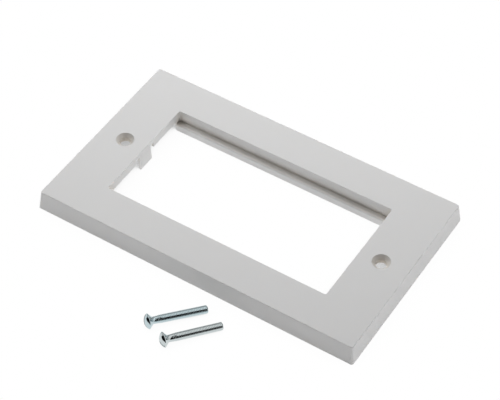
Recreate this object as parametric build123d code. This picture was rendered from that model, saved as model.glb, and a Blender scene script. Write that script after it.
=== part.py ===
from build123d import *
import math
import os

# Two-gang faceplate for four clip-in outlet modules, with its two loose fixing screws.
# Millimetres. X runs along the plate, Y across it, Z from the wall towards the room.
# The origin is the plate's centre, on the plane of its rear rim.

# Outline of the plate
plate_length = 146.0
plate_width = 86.0
plate_height = 8.8
side_lean = 1.0
corner_radius = 1.0
face_edge_radius = 0.3
side_wall = 2.0
face_thickness = 2.0
hollow_corner_radius = 0.3

# Window for the modules and the frame wall that hangs from the face around it
window_length = 101.2
window_width = 51.0
window_corner_radius = 0.8
window_edge_chamfer = 0.1
side_frame_wall = 1.6
end_frame_wall = 1.0
end_frame_bottom = 4.4

# Ledge along each long side of the window, on which the modules rest
ledge_projection = 2.9
ledge_height = 3.3
ledge_edge_chamfer = 0.35
ledge_end_lap = 0.5

# Spring tab in the middle of each short side, with a slit on either side
tab_width = 7.9
tab_thickness = 0.8
tab_tip_thickness = 0.6
tab_lean = 0.5
tab_tip_height = 0.1
slit_width = 2.3

# Fixing holes, each in a short boss under the face
hole_spacing = 120.6
hole_diameter = 4.6
countersink_diameter = 7.6
countersink_angle = 90.0
boss_diameter = 10.4
boss_bottom = 5.4

# Ribs that stiffen the hollow rear
rib_thickness = 1.2
rib_bottom = 3.6
side_rib_spacing = 34.0
side_rib_count = 4
end_rib_spacing = 44.0
boss_rib_bottom = 6.0

# Raised countersunk fixing screw
screw_length = 25.0
screw_thread_diameter = 3.3
screw_neck_diameter = 2.9
screw_neck_end = 2.8
screw_head_diameter = 6.2
screw_dome_height = 1.5
screw_head_edge = 0.2
screw_head_angle = 90.0
screw_tip_chamfer = 0.35
screw_slot_width = 0.9
screw_slot_depth = 1.2

# Where each screw lies: the middle of its head's rim, its heading from head to tip, and its slot's turn
far_screw_x = -1.5
far_screw_y = -68.9
far_screw_heading = 50.2
far_screw_slot_turn = 45.0
near_screw_x = 8.3
near_screw_y = -73.0
near_screw_heading = 51.9
near_screw_slot_turn = 14.0

# Length by which a cutter runs past what it cuts
cut_margin = 1.0

face_underside = plate_height - face_thickness
half_window_length = window_length / 2
half_window_width = window_width / 2


def rounded_block(length, width, radius, bottom, top):
    """An upright block with round corners, centred on the plate."""
    outline = Plane.XY.offset(bottom) * RectangleRounded(length, width, radius)
    return extrude(outline, top - bottom)


def leaning_block(inset, bottom, top):
    """The plate's outer form between two heights, drawn in by inset on every side."""
    sections = []
    for height in (bottom, top):
        drawn_in = 2 * (inset + side_lean * height / plate_height)
        radius = max(corner_radius - inset, hollow_corner_radius)
        outline = RectangleRounded(plate_length - drawn_in, plate_width - drawn_in, radius)
        sections.append(Plane.XY.offset(height) * outline)
    return loft(sections)


def plate_shell():
    """The outer skin: a face and four leaning side walls, open at the rear."""
    body = leaning_block(0, 0, plate_height)
    face_edges = body.faces().sort_by(Axis.Z)[-1].edges()
    body = fillet(face_edges, face_edge_radius)
    return body - leaning_block(side_wall, -cut_margin, face_underside)


def window_frame():
    """The block that the window is cut from: long walls down to the rim, end walls that lap the ends of
    the ledges and are cut shorter between them."""
    outer_length = window_length + 2 * end_frame_wall
    outer_width = window_width + 2 * side_frame_wall
    across = (Align.CENTER, Align.CENTER, Align.MIN)
    bottom = ledge_height - ledge_end_lap
    block = rounded_block(
        outer_length, outer_width, window_corner_radius, bottom, face_underside + cut_margin
    )
    between_ledges = window_width - 2 * ledge_projection
    block -= Box(outer_length + 2 * cut_margin, between_ledges, end_frame_bottom, align=across)
    for side in (-1, 1):
        middle = side * (half_window_width + side_frame_wall / 2)
        block += Pos(0, middle, 0) * Box(outer_length, side_frame_wall, face_underside, align=across)
    return block


def module_ledge(side):
    """One ledge, a bar whose upper inner edge is chamfered."""
    inner = half_window_width - ledge_projection
    outer = half_window_width + side_frame_wall / 2
    profile = Polyline(
        (inner, 0),
        (outer, 0),
        (outer, ledge_height),
        (inner + ledge_edge_chamfer, ledge_height),
        (inner, ledge_height - ledge_edge_chamfer),
        close=True,
    )
    section = Plane.YZ.offset(-half_window_length) * make_face(profile)
    bar = extrude(section, window_length)
    return bar if side > 0 else mirror(bar, Plane.XZ)


def window_cutter():
    """What the window takes out of the face and the frame, with its chamfered front edge."""
    opening = rounded_block(
        window_length, window_width, window_corner_radius, -cut_margin, plate_height + cut_margin
    )
    widened = 2 * window_edge_chamfer
    lower = Plane.XY.offset(plate_height - window_edge_chamfer) * RectangleRounded(
        window_length, window_width, window_corner_radius
    )
    upper = Plane.XY.offset(plate_height) * RectangleRounded(
        window_length + widened, window_width + widened, window_corner_radius + window_edge_chamfer
    )
    return opening + loft([lower, upper])


def tab_gap(side):
    """The gap in the wall of one short side, which takes the spring tab and a slit on either side of it."""
    place = Pos(side * (half_window_length + end_frame_wall / 2), 0, 0)
    return place * Box(
        end_frame_wall + 2 * cut_margin,
        tab_width + 2 * slit_width,
        face_underside,
        align=(Align.CENTER, Align.CENTER, Align.MIN),
    )


def spring_tab(side):
    """The tab of one short side, thinner and leaning into the window towards its tip."""
    inner = half_window_length
    root_top = face_underside + cut_margin
    profile = Polyline(
        (inner, root_top),
        (inner, face_underside),
        (inner - tab_lean, tab_tip_height),
        (inner - tab_lean + tab_tip_thickness, tab_tip_height),
        (inner + tab_thickness, face_underside),
        (inner + tab_thickness, root_top),
        close=True,
    )
    section = Plane.XZ.offset(-tab_width / 2) * make_face(profile)
    tab = extrude(section, tab_width)
    return tab if side > 0 else mirror(tab, Plane.YZ)


def screw_boss(side):
    """The boss under the face that carries one fixing hole."""
    height = face_underside + cut_margin - boss_bottom
    place = Pos(side * hole_spacing / 2, 0, boss_bottom)
    return place * Cylinder(boss_diameter / 2, height, align=(Align.CENTER, Align.CENTER, Align.MIN))


def hole_cutter(side):
    """One clearance hole and its countersink."""
    hole_radius = hole_diameter / 2
    rim_radius = countersink_diameter / 2
    depth = (rim_radius - hole_radius) / math.tan(math.radians(countersink_angle / 2))
    profile = Polyline(
        (0, -cut_margin),
        (hole_radius, -cut_margin),
        (hole_radius, plate_height - depth),
        (rim_radius, plate_height),
        (rim_radius, plate_height + cut_margin),
        (0, plate_height + cut_margin),
        close=True,
    )
    cutter = revolve(Plane.XZ * make_face(profile), Axis.Z)
    return Pos(side * hole_spacing / 2, 0, 0) * cutter


def rear_ribs():
    """Ribs from the frame to the side walls, and from each boss to the end wall."""
    ribs = []
    top = face_underside + cut_margin
    side_reach = plate_width / 2 - side_lean - side_wall / 2
    frame_side = half_window_width + side_frame_wall / 2
    end_reach = plate_length / 2 - side_lean - side_wall / 2
    frame_end = half_window_length + end_frame_wall / 2
    boss_middle = hole_spacing / 2
    across = (Align.CENTER, Align.CENTER, Align.MIN)
    first = -side_rib_spacing * (side_rib_count - 1) / 2
    for way in (-1, 1):
        for index in range(side_rib_count):
            place = Pos(first + index * side_rib_spacing, way * (frame_side + side_reach) / 2, rib_bottom)
            ribs.append(place * Box(rib_thickness, side_reach - frame_side, top - rib_bottom, align=across))
        for end in (-1, 1):
            place = Pos(end * (frame_end + end_reach) / 2, way * end_rib_spacing / 2, rib_bottom)
            ribs.append(place * Box(end_reach - frame_end, rib_thickness, top - rib_bottom, align=across))
        place = Pos(way * (boss_middle + end_reach) / 2, 0, boss_rib_bottom)
        ribs.append(place * Box(end_reach - boss_middle, rib_thickness, top - boss_rib_bottom, align=across))
    return ribs


def faceplate():
    """The whole moulding as one solid."""
    body = plate_shell() + window_frame() + rear_ribs()
    body += [screw_boss(side) for side in (-1, 1)]
    body -= window_cutter()
    for side in (-1, 1):
        body -= tab_gap(side)
        body -= hole_cutter(side)
    body += [spring_tab(side) for side in (-1, 1)]
    body += [module_ledge(side) for side in (-1, 1)]
    return body


def fixing_screw():
    """One screw, its head's rim at the origin and its shank along X."""
    head = screw_head_diameter / 2
    neck = screw_neck_diameter / 2
    shank = screw_thread_diameter / 2
    tip = screw_length - screw_dome_height
    cone_end = screw_head_edge + (head - neck) / math.tan(math.radians(screw_head_angle / 2))
    dome_radius = (head**2 + screw_dome_height**2) / (2 * screw_dome_height)
    halfway = math.asin(head / dome_radius) / 2
    dome_middle = (
        dome_radius - screw_dome_height - dome_radius * math.cos(halfway),
        dome_radius * math.sin(halfway),
    )
    dome = ThreePointArc((-screw_dome_height, 0), dome_middle, (0, head))
    sides = Polyline(
        (0, head),
        (screw_head_edge, head),
        (cone_end, neck),
        (screw_neck_end, neck),
        (screw_neck_end + shank - neck, shank),
        (tip - screw_tip_chamfer, shank),
        (tip, shank - screw_tip_chamfer),
        (tip, 0),
        (-screw_dome_height, 0),
    )
    body = revolve(make_face([dome, sides]), Axis.X)
    slot = Pos(-screw_dome_height - cut_margin, 0, 0) * Box(
        screw_slot_depth + cut_margin,
        screw_head_diameter + 2 * cut_margin,
        screw_slot_width,
        align=(Align.MIN, Align.CENTER, Align.CENTER),
    )
    return body - slot


def lying_screw(place_x, place_y, heading, slot_turn):
    """A screw lying on the surface, on the rim of its head and the end of its thread."""
    head = screw_head_diameter / 2
    shank = screw_thread_diameter / 2
    contact = screw_length - screw_dome_height - screw_tip_chamfer - screw_head_edge
    dip = math.degrees(math.atan2(head - shank, contact))
    rim_height = head * math.cos(math.radians(dip)) + screw_head_edge * math.sin(math.radians(dip))
    turned = Rot(slot_turn, 0, 0) * fixing_screw()
    return Pos(place_x, place_y, rim_height) * Rot(0, 0, heading) * Rot(0, dip, 0) * turned


os.makedirs("parts", exist_ok=True)
export_step(faceplate(), "parts/faceplate.step")
far_screw = lying_screw(far_screw_x, far_screw_y, far_screw_heading, far_screw_slot_turn)
near_screw = lying_screw(near_screw_x, near_screw_y, near_screw_heading, near_screw_slot_turn)
export_step(Compound([far_screw, near_screw]), "parts/fixing_screws.step")
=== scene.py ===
import math

import bmesh
import bpy
from mathutils import Matrix, Vector


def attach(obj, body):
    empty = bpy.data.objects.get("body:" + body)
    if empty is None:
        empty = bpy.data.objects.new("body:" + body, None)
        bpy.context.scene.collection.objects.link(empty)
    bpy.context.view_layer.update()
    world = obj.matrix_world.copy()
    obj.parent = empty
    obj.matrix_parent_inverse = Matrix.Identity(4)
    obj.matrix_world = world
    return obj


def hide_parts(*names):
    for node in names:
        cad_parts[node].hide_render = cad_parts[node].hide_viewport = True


# Two-gang faceplate on a softly lit white table, with its two loose fixing screws in front.
# Metres, in the plate's own frame: X along the plate, Y across it, Z out of its face.

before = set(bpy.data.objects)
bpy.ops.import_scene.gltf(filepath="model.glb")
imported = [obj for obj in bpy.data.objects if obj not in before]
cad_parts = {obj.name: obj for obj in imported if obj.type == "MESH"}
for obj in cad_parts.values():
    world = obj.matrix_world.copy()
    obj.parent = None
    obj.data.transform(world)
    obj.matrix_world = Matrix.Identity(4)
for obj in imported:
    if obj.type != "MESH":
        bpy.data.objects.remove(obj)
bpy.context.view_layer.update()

mm = 0.001

# Camera: where it stands, as azimuth and elevation in degrees and a distance in metres from its target,
# its roll in degrees, its lens and sensor in millimetres, and how near it starts to see
camera_azimuth = -57.64
camera_elevation = 48.20
camera_roll = 0.24
camera_distance = 0.7209
camera_target = Vector((-0.00362, 0.00615, 0.0))
camera_lens = 128.7
camera_sensor = 36.0
camera_near_limit = 0.01

# Table: how far it lies below the object, its side, colour and glow, how far round the object its painted
# shadow reaches, and that shadow's tone at each degree of openness
table_drop = 0.1 * mm
table_size = 6.0
table_color = (0.80, 0.80, 0.80)
table_glow = 0.515
painted_shadow_reach = 25 * mm
painted_shadow_tones = ((0.0, 0.42), (0.10, 0.50), (0.14, 0.80), (0.24, 0.95), (0.45, 0.98), (0.80, 1.0))

# Soft lamps: azimuth and elevation in degrees, distance, width and height in metres, and power in watts
lamps = {
    "lamp_back": (92, 58, 0.47, 0.30, 0.25, 1.18),
    "lamp_left": (158, 48, 0.60, 0.36, 0.36, 1.28),
    "lamp_right": (0, 8, 1.10, 0.50, 0.30, 2.10),
    "lamp_front": (225, 50, 1.10, 0.50, 0.50, 1.82),
}

# Sheets that show only as reflections: first and last azimuth in degrees, outline of distances from the
# middle and heights in metres, and level of glow; and the steps that each is curved in
reflected_sheets = {
    "dark_front": (-160, -10, ((0.95, 0.0), (0.95, 1.3), (0.04, 1.3)), 0.01),
    "dark_overhead": (0, 360, ((0.20, 1.29), (0.001, 1.29)), 0.01),
    "grey_back": (60, 200, ((1.3, 0.25), (1.3, 1.55)), 0.48),
    "bright_top": (-10, 220, ((1.1, 1.3), (0.001, 1.3)), 1.08),
}
sheet_steps = 24

# Range that noise mostly keeps within, and the rays that a measure of openness takes
noise_low = 0.3
noise_high = 0.7
openness_samples = 16

# Plastic: the tones of its faint flow marks, how far round it its recesses are measured and their painted
# shading at each degree of openness (darker and warmer deep in, a little lighter and warmer part-way out),
# its skin and waves as cells for each metre and heights, its roughness, and how far light goes in
plastic_warm = (0.738, 0.735, 0.730)
plastic_cool = (0.752, 0.751, 0.750)
recess_shade_reach = 6.0 * mm
recess_painted_shading = ((0.28, (0.58, 0.55, 0.51)), (0.50, (1.04, 0.995, 0.935)), (0.95, (1.0, 1.0, 1.0)))
flow_scale = 45.0
skin_scale = 5200.0
skin_height = 0.01 * mm
skin_strength = 0.35
wave_scale = 90.0
wave_height = 0.05 * mm
wave_strength = 0.25
plastic_smoothest = 0.34
plastic_roughest = 0.44
plastic_ior = 1.5
inner_light_share = 0.12
inner_light_depth = 1.2 * mm
inner_light_color = (1.0, 0.9, 0.8)

# Screw holes: how far each stands from the plate's middle, the radii between which the painted shade of
# their insides fades out, and that painted shade
hole_offset = 60.3 * mm
hole_inside = 3.60 * mm
hole_outside = 3.85 * mm
hole_painted_shade = (0.87, 0.845, 0.81)

# Fixing screw, as long and as thick as the solid that it stands for
screw_length = 25.0 * mm
thread_major = 3.3 * mm
thread_minor = 3.1 * mm
thread_pitch = 0.6 * mm
thread_crest_share = 0.66
thread_root_share = 0.26
thread_run_in = 2.4 * mm
neck_diameter = 2.9 * mm
neck_end = 2.8 * mm
head_diameter = 6.2 * mm
dome_height = 1.5 * mm
head_edge = 0.2 * mm
tip_chamfer = 0.35 * mm
slot_width = 0.9 * mm
slot_depth = 1.2 * mm
slot_edge_round = 0.06 * mm

# Mesh of the screw: points round it, rings for each turn of thread, along the cone and along the dome, and
# the angle in degrees from which its edges are shaded hard
screw_segments = 48
rings_per_pitch = 12
cone_steps = 6
dome_steps = 14
hard_edge_angle = 50

# Cutting the slot: how far the cutter reaches past the head, and the gap that counts as none; then which
# edges are rounded, by angle in degrees and distance in front of the head's rim, and how
cutter_reach = 1.0 * mm
no_gap = 0.0005 * mm
sharp_slot_angle = 35
slot_edges_from = 0.02 * mm
slot_edge_steps = 2
slot_edge_profile = 0.5

# Where each screw lies: middle of the head's rim, heading from head to tip, turn of the slot
screw_places = {
    "fixing_screw_far": (-1.5 * mm, -68.9 * mm, math.radians(50.2), math.radians(45.0)),
    "fixing_screw_near": (8.3 * mm, -73.0 * mm, math.radians(51.9), math.radians(14.0)),
}

# Plating of each screw, dull and bright, the far one a little bluer, with its clouds and drawing marks as
# cells for each metre
screw_tones = {
    "fixing_screw_far": ((0.47, 0.575, 0.605), (0.56, 0.655, 0.68)),
    "fixing_screw_near": ((0.53, 0.585, 0.595), (0.62, 0.665, 0.665)),
}
zinc_smoothest = 0.06
zinc_roughest = 0.10
cloud_scale = 420.0
grain_scale = 9000.0
grain_height = 0.003 * mm
grain_strength = 0.25


def node(tree, kind, **settings):
    """A shader node with its settings."""
    made = tree.nodes.new(kind)
    for name, value in settings.items():
        setattr(made, name, value)
    return made


def new_material(name):
    """An empty node material, its tree and its surface shader."""
    material = bpy.data.materials.new(name)
    material.use_nodes = True
    tree = material.node_tree
    return material, tree, tree.nodes["Principled BSDF"]


def noise(tree, scale, detail):
    """Noise in the object's own coordinates, its scale in cells for each metre."""
    place = node(tree, "ShaderNodeTexCoord")
    texture = node(tree, "ShaderNodeTexNoise")
    texture.inputs["Scale"].default_value = scale
    texture.inputs["Detail"].default_value = detail
    tree.links.new(place.outputs["Object"], texture.inputs["Vector"])
    return texture.outputs["Fac"]


def spread(tree, value, low, high, start=noise_low, end=noise_high):
    """The value, taken from start..end to low..high."""
    ranged = node(tree, "ShaderNodeMapRange")
    for socket, number in (("From Min", start), ("From Max", end), ("To Min", low), ("To Max", high)):
        ranged.inputs[socket].default_value = number
    tree.links.new(value, ranged.inputs["Value"])
    return ranged.outputs["Result"]


def ramp_of(tree, value, stops):
    """A colour that follows the value through the given stops, each a place from 0 to 1 and a colour."""
    ramp = node(tree, "ShaderNodeValToRGB")
    elements = ramp.color_ramp.elements
    while len(elements) < len(stops):
        elements.new(0.5)
    for element, (place, color) in zip(elements, stops):
        element.position = place
        element.color = (*color, 1.0)
    tree.links.new(value, ramp.inputs["Fac"])
    return ramp.outputs["Color"]


def two_tone(tree, value, first, second):
    """A colour between two, by the value."""
    return ramp_of(tree, value, ((0.0, first), (1.0, second)))


def with_painted_recess_shading(tree, open_tone):
    """The open tone with painted shading where the piece's own walls stand close: darker and warmer deep
    in.
    """
    openness = node(tree, "ShaderNodeAmbientOcclusion", samples=openness_samples, only_local=True)
    openness.inputs["Distance"].default_value = recess_shade_reach
    mixed = node(tree, "ShaderNodeMixRGB", blend_type="MULTIPLY")
    mixed.inputs["Fac"].default_value = 1.0
    tree.links.new(open_tone, mixed.inputs["Color1"])
    tree.links.new(ramp_of(tree, openness.outputs["AO"], recess_painted_shading), mixed.inputs["Color2"])
    return mixed.outputs["Color"]


def with_painted_shade_in_screw_holes(tree, open_tone):
    """The open tone, with painted shade inside the two screw holes."""
    place = node(tree, "ShaderNodeTexCoord")
    parts = node(tree, "ShaderNodeSeparateXYZ")
    either_side = node(tree, "ShaderNodeMath", operation="ABSOLUTE")
    along = node(tree, "ShaderNodeMath", operation="SUBTRACT")
    along.inputs[1].default_value = hole_offset
    from_axis = node(tree, "ShaderNodeCombineXYZ")
    distance = node(tree, "ShaderNodeVectorMath", operation="LENGTH")
    # Painted shade: the insides of the holes are darkened by this tone
    mixed = node(tree, "ShaderNodeMixRGB", blend_type="MULTIPLY")
    mixed.inputs["Color2"].default_value = (*hole_painted_shade, 1.0)
    tree.links.new(place.outputs["Object"], parts.inputs[0])
    tree.links.new(parts.outputs["X"], either_side.inputs[0])
    tree.links.new(either_side.outputs[0], along.inputs[0])
    tree.links.new(along.outputs[0], from_axis.inputs["X"])
    tree.links.new(parts.outputs["Y"], from_axis.inputs["Y"])
    tree.links.new(from_axis.outputs[0], distance.inputs[0])
    share = spread(tree, distance.outputs["Value"], 1.0, 0.0, hole_inside, hole_outside)
    tree.links.new(share, mixed.inputs["Fac"])
    tree.links.new(open_tone, mixed.inputs["Color1"])
    return mixed.outputs["Color"]


def bump(tree, height, distance, strength, before=None):
    """Relief of the given height in metres."""
    relief = node(tree, "ShaderNodeBump")
    relief.inputs["Distance"].default_value = distance
    relief.inputs["Strength"].default_value = strength
    tree.links.new(height, relief.inputs["Height"])
    if before is not None:
        tree.links.new(before, relief.inputs["Normal"])
    return relief.outputs["Normal"]


def moulded_plastic():
    """White moulded plastic: faint flow marks, painted shade in its recesses and screw holes, a fine satin
    skin and a soft sheen.
    """
    material, tree, shader = new_material("white_moulded_plastic")
    flow = noise(tree, flow_scale, detail=3.0)
    skin = noise(tree, skin_scale, detail=2.0)
    waves = noise(tree, wave_scale, detail=1.0)
    open_tone = two_tone(tree, flow, plastic_warm, plastic_cool)
    # Painted shade over the plastic's own tone: darker, warmer recesses and darker screw-hole insides
    shaded = with_painted_shade_in_screw_holes(tree, with_painted_recess_shading(tree, open_tone))
    tree.links.new(shaded, shader.inputs["Base Color"])
    tree.links.new(spread(tree, skin, plastic_smoothest, plastic_roughest), shader.inputs["Roughness"])
    wavy = bump(tree, waves, wave_height, wave_strength)
    tree.links.new(bump(tree, skin, skin_height, skin_strength, wavy), shader.inputs["Normal"])
    shader.inputs["IOR"].default_value = plastic_ior
    shader.inputs["Subsurface Weight"].default_value = inner_light_share
    shader.inputs["Subsurface Radius"].default_value = inner_light_color
    shader.inputs["Subsurface Scale"].default_value = inner_light_depth
    return material


def zinc_plate(name, dull, bright):
    """Bright zinc plating between two tones, with fine drawing marks."""
    material, tree, shader = new_material(name)
    clouds = noise(tree, cloud_scale, detail=3.0)
    grains = noise(tree, grain_scale, detail=2.0)
    tree.links.new(two_tone(tree, clouds, dull, bright), shader.inputs["Base Color"])
    tree.links.new(spread(tree, clouds, zinc_smoothest, zinc_roughest), shader.inputs["Roughness"])
    tree.links.new(bump(tree, grains, grain_height, grain_strength), shader.inputs["Normal"])
    shader.inputs["Metallic"].default_value = 1.0
    return material


def dome_outline(steps):
    """Distances along the screw and radii from the top of the dome to the head's rim."""
    rim = head_diameter / 2
    dome_radius = (rim**2 + dome_height**2) / (2 * dome_height)
    widest = math.asin(rim / dome_radius)
    points = []
    for step in range(1, steps + 1):
        angle = widest * step / steps
        along = -dome_height + dome_radius * (1 - math.cos(angle))
        points.append((along, dome_radius * math.sin(angle)))
    return points


def thread_height(phase):
    """How far up from root to crest the thread stands, at a phase from 0 to 1 of its pitch."""
    from_crest = abs(phase - 0.5) * 2
    flank_start = thread_crest_share
    flank_end = 1 - thread_root_share
    return min(max((flank_end - from_crest) / (flank_end - flank_start), 0.0), 1.0)


def screw_radius(along, turn):
    """The screw's radius behind its head, at a distance along it and an angle round it in turns."""
    neck = neck_diameter / 2
    cone = head_diameter / 2 - max(along - head_edge, 0.0)
    if along < neck_end:
        return max(cone, neck)
    tip = screw_length - dome_height
    root = thread_minor / 2
    crest = thread_major / 2
    phase = (along / thread_pitch - turn) % 1.0
    thread = root + (crest - root) * thread_height(phase)
    rise = min((along - neck_end) / thread_run_in, 1.0)
    blended = neck + (thread - neck) * rise
    return min(blended, crest - tip_chamfer + max(tip - along, 0.0))


def screw_body():
    """The whole screw along X as one closed grid, its head's rim at the origin, without the slot."""
    tip = screw_length - dome_height
    behind = [head_edge]
    cone_length = (head_diameter - neck_diameter) / 2
    behind += [head_edge + cone_length * step / cone_steps for step in range(1, cone_steps + 1)]
    behind += [neck_end]
    threaded = round((tip - neck_end) / thread_pitch * rings_per_pitch)
    behind += [neck_end + (tip - neck_end) * step / threaded for step in range(1, threaded + 1)]
    mesh = bmesh.new()
    rings = []
    for along, radius in dome_outline(dome_steps):
        rings.append(ring(mesh, along, [radius] * screw_segments))
    for along in behind:
        radii = [screw_radius(along, step / screw_segments) for step in range(screw_segments)]
        rings.append(ring(mesh, along, radii))
    for first, second in zip(rings, rings[1:]):
        for step in range(screw_segments):
            after = (step + 1) % screw_segments
            mesh.faces.new((first[step], first[after], second[after], second[step]))
    close_end(mesh, rings[0], -dome_height, False)
    close_end(mesh, rings[-1], tip, True)
    bmesh.ops.recalc_face_normals(mesh, faces=mesh.faces)
    return mesh


def ring(mesh, along, radii):
    """A closed row of points round X."""
    points = []
    for step, radius in enumerate(radii):
        angle = 2 * math.pi * step / len(radii)
        points.append(mesh.verts.new((along, radius * math.cos(angle), radius * math.sin(angle))))
    return points


def close_end(mesh, points, along, last):
    """A fan that closes the screw at one end."""
    middle = mesh.verts.new((along, 0.0, 0.0))
    for step, point in enumerate(points):
        after = points[(step + 1) % len(points)]
        mesh.faces.new((point, after, middle) if last else (after, point, middle))


def slot_cutter(turn):
    """A bar as wide as the slot, across the dome."""
    mesh = bmesh.new()
    bmesh.ops.create_cube(mesh, size=1.0)
    depth = slot_depth + cutter_reach
    length = head_diameter + 2 * cutter_reach
    bmesh.ops.scale(mesh, vec=(depth, length, slot_width), verts=mesh.verts)
    bmesh.ops.translate(mesh, vec=(-dome_height - cutter_reach + depth / 2, 0, 0), verts=mesh.verts)
    bmesh.ops.rotate(mesh, cent=(0, 0, 0), matrix=Matrix.Rotation(turn, 3, "X"), verts=mesh.verts)
    return mesh


def as_object(name, mesh):
    """A scene object from a bmesh, which is freed."""
    data = bpy.data.meshes.new(name)
    mesh.to_mesh(data)
    mesh.free()
    made = bpy.data.objects.new(name, data)
    bpy.context.scene.collection.objects.link(made)
    return made


def cut(body, tool):
    """Takes the tool out of the body and removes the tool."""
    modifier = body.modifiers.new("cut", "BOOLEAN")
    modifier.operation = "DIFFERENCE"
    modifier.solver = "EXACT"
    modifier.object = tool
    bpy.context.view_layer.update()
    result = bpy.data.meshes.new_from_object(body.evaluated_get(bpy.context.evaluated_depsgraph_get()))
    body.modifiers.clear()
    body.data = result
    bpy.data.objects.remove(tool)


def round_slot_edges(body):
    """Rounds the sharp edges that the slot leaves in the dome."""
    sharp = math.radians(sharp_slot_angle)
    mesh = bmesh.new()
    mesh.from_mesh(body.data)
    bmesh.ops.remove_doubles(mesh, verts=mesh.verts, dist=no_gap)
    edges = [
        edge for edge in mesh.edges
        if len(edge.link_faces) == 2
        and edge.calc_face_angle() > sharp
        and max(point.co.x for point in edge.verts) < -slot_edges_from
    ]
    bmesh.ops.bevel(
        mesh, geom=edges, offset=slot_edge_round, segments=slot_edge_steps, profile=slot_edge_profile,
        affect="EDGES", clamp_overlap=True
    )
    mesh.to_mesh(body.data)
    mesh.free()


def smooth_by_angle(body, degrees):
    """Smooth shading, with hard edges where faces meet at more than the angle."""
    limit = math.radians(degrees)
    mesh = bmesh.new()
    mesh.from_mesh(body.data)
    for face in mesh.faces:
        face.smooth = True
    for edge in mesh.edges:
        if len(edge.link_faces) == 2:
            edge.smooth = edge.calc_face_angle() < limit
    mesh.to_mesh(body.data)
    mesh.free()


def lying(place_x, place_y, heading):
    """Where a screw lies that rests on the rim of its head and the end of its thread."""
    rim = head_diameter / 2
    crest = thread_major / 2
    contact = screw_length - dome_height - tip_chamfer - head_edge
    dip = math.atan2(rim - crest, contact)
    height = rim * math.cos(dip) + head_edge * math.sin(dip)
    place = Matrix.Translation((place_x, place_y, height))
    return place @ Matrix.Rotation(heading, 4, "Z") @ Matrix.Rotation(dip, 4, "Y")


def fixing_screw(name, place_x, place_y, heading, slot_turn, material):
    """One raised countersunk screw with a cut slot and a rolled thread, lying on the table."""
    screw = as_object(name, screw_body())
    cut(screw, as_object(name + "_slot", slot_cutter(slot_turn)))
    round_slot_edges(screw)
    smooth_by_angle(screw, hard_edge_angle)
    screw.data.transform(lying(place_x, place_y, heading))
    screw.data.materials.clear()
    screw.data.materials.append(material)
    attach(screw, "root")
    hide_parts("fixing_screws")


def dress_faceplate():
    """The moulding keeps its CAD shape and gets the plastic."""
    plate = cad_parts["faceplate"]
    plastic = moulded_plastic()
    for material_slot in plate.material_slots:
        material_slot.material = plastic


def is_seen(tree):
    """1 for rays from the camera, and for those that gloss and glass send on."""
    path = node(tree, "ShaderNodeLightPath")
    first = node(tree, "ShaderNodeMath", operation="MAXIMUM")
    both = node(tree, "ShaderNodeMath", operation="MAXIMUM")
    tree.links.new(path.outputs["Is Camera Ray"], first.inputs[0])
    tree.links.new(path.outputs["Is Glossy Ray"], first.inputs[1])
    tree.links.new(first.outputs[0], both.inputs[0])
    tree.links.new(path.outputs["Is Transmission Ray"], both.inputs[1])
    return both.outputs[0]


def table_material():
    """A white glowing table, which the camera and reflections see white where it is open, with a painted
    shadow close to and under the object.
    """
    material = bpy.data.materials.new("white_table")
    material.use_nodes = True
    tree = material.node_tree
    tree.nodes.clear()
    output = node(tree, "ShaderNodeOutputMaterial")
    lit = node(tree, "ShaderNodeBsdfDiffuse")
    lit.inputs["Color"].default_value = (*table_color, 1.0)
    glow = node(tree, "ShaderNodeEmission")
    glow.inputs["Strength"].default_value = table_glow
    both = node(tree, "ShaderNodeAddShader")
    tree.links.new(lit.outputs[0], both.inputs[0])
    tree.links.new(glow.outputs[0], both.inputs[1])
    openness = node(tree, "ShaderNodeAmbientOcclusion", samples=openness_samples)
    openness.inputs["Distance"].default_value = painted_shadow_reach
    # What the camera and reflections see: the white table with a painted shadow, dimmer where it is less
    # open
    white = node(tree, "ShaderNodeEmission")
    painted_shadow_greys = [(place, (tone, tone, tone)) for place, tone in painted_shadow_tones]
    tree.links.new(ramp_of(tree, openness.outputs["AO"], painted_shadow_greys), white.inputs["Strength"])
    chosen = node(tree, "ShaderNodeMixShader")
    tree.links.new(is_seen(tree), chosen.inputs["Fac"])
    tree.links.new(both.outputs[0], chosen.inputs[1])
    tree.links.new(white.outputs[0], chosen.inputs[2])
    tree.links.new(chosen.outputs[0], output.inputs["Surface"])
    return material


def table():
    """The plain table that the object lies on."""
    mesh = bmesh.new()
    bmesh.ops.create_grid(mesh, x_segments=1, y_segments=1, size=table_size / 2)
    top = as_object("table", mesh)
    top.data.materials.append(table_material())
    top.location = (0.0, 0.0, -table_drop)


def reflected_sheet(name, first, last, outline, level):
    """A curved sheet round the plate, from one azimuth to another, which shows only as a reflection."""
    material = bpy.data.materials.new(name)
    material.use_nodes = True
    tree = material.node_tree
    tree.nodes.clear()
    output = node(tree, "ShaderNodeOutputMaterial")
    glow = node(tree, "ShaderNodeEmission")
    glow.inputs["Strength"].default_value = level
    tree.links.new(glow.outputs[0], output.inputs["Surface"])
    mesh = bmesh.new()
    rows = []
    for reach, height in outline:
        row = []
        for step in range(sheet_steps + 1):
            turn = math.radians(first + (last - first) * step / sheet_steps)
            row.append(mesh.verts.new((reach * math.cos(turn), reach * math.sin(turn), height)))
        rows.append(row)
    for lower, upper in zip(rows, rows[1:]):
        for step in range(sheet_steps):
            mesh.faces.new((lower[step], lower[step + 1], upper[step + 1], upper[step]))
    made = as_object(name, mesh)
    made.data.materials.append(material)
    made.visible_camera = False
    made.visible_diffuse = False
    made.visible_shadow = False


def direction(azimuth, elevation):
    """The unit vector at an angle from X towards Y and a height above the table, in degrees."""
    turn = math.radians(azimuth)
    rise = math.radians(elevation)
    return Vector((math.cos(turn) * math.cos(rise), math.sin(turn) * math.cos(rise), math.sin(rise)))


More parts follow.
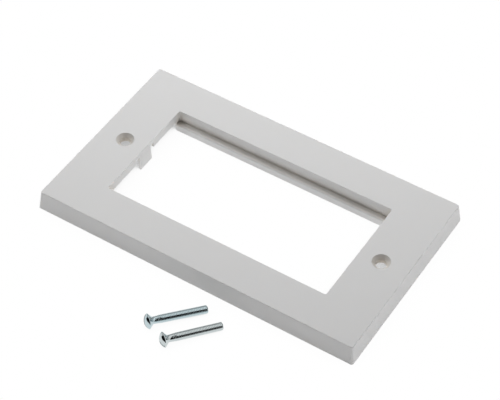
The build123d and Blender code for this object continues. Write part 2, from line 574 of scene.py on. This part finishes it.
def soft_lamp(name, azimuth, elevation, distance, width, height, power):
    """A soft rectangular lamp that looks at the plate."""
    data = bpy.data.lights.new(name, "AREA")
    data.shape = "RECTANGLE"
    data.size = width
    data.size_y = height
    data.energy = power
    lamp = bpy.data.objects.new(name, data)
    towards = direction(azimuth, elevation)
    lamp.location = towards * distance
    lamp.rotation_euler = towards.to_track_quat("Z", "Y").to_euler()
    lamp.visible_glossy = False
    lamp.visible_camera = False
    bpy.context.scene.collection.objects.link(lamp)


def tent():
    """An even surround, pale where it is seen or reflected and dark otherwise."""
    world = bpy.data.worlds.new("tent")
    bpy.context.scene.world = world
    world.use_nodes = True
    tree = world.node_tree
    tree.nodes.clear()
    output = node(tree, "ShaderNodeOutputWorld")
    background = node(tree, "ShaderNodeBackground")
    tree.links.new(is_seen(tree), background.inputs["Strength"])
    tree.links.new(background.outputs[0], output.inputs["Surface"])


def camera():
    """The camera at the photograph's place."""
    back = direction(camera_azimuth, camera_elevation)
    right = (-back).cross(Vector((0, 0, 1))).normalized()
    up = right.cross(-back)
    roll = math.radians(camera_roll)
    across = right * math.cos(roll) + up * math.sin(roll)
    upward = up * math.cos(roll) - right * math.sin(roll)
    data = bpy.data.cameras.new("camera")
    data.sensor_width = camera_sensor
    data.lens = camera_lens
    data.clip_start = camera_near_limit
    made = bpy.data.objects.new("camera", data)
    pose = Matrix((across, upward, back)).transposed().to_4x4()
    pose.translation = camera_target + back * camera_distance
    made.matrix_world = pose
    bpy.context.scene.collection.objects.link(made)
    bpy.context.scene.camera = made


camera()
dress_faceplate()
for screw_name, (screw_x, screw_y, screw_heading, screw_turn) in screw_places.items():
    zinc = zinc_plate(screw_name + "_zinc", *screw_tones[screw_name])
    fixing_screw(screw_name, screw_x, screw_y, screw_heading, screw_turn, zinc)
table()
for sheet_name, sheet_values in reflected_sheets.items():
    reflected_sheet(sheet_name, *sheet_values)
tent()
for lamp_name, lamp_values in lamps.items():
    soft_lamp(lamp_name, *lamp_values)

bpy.context.scene.view_settings.view_transform = "Standard"
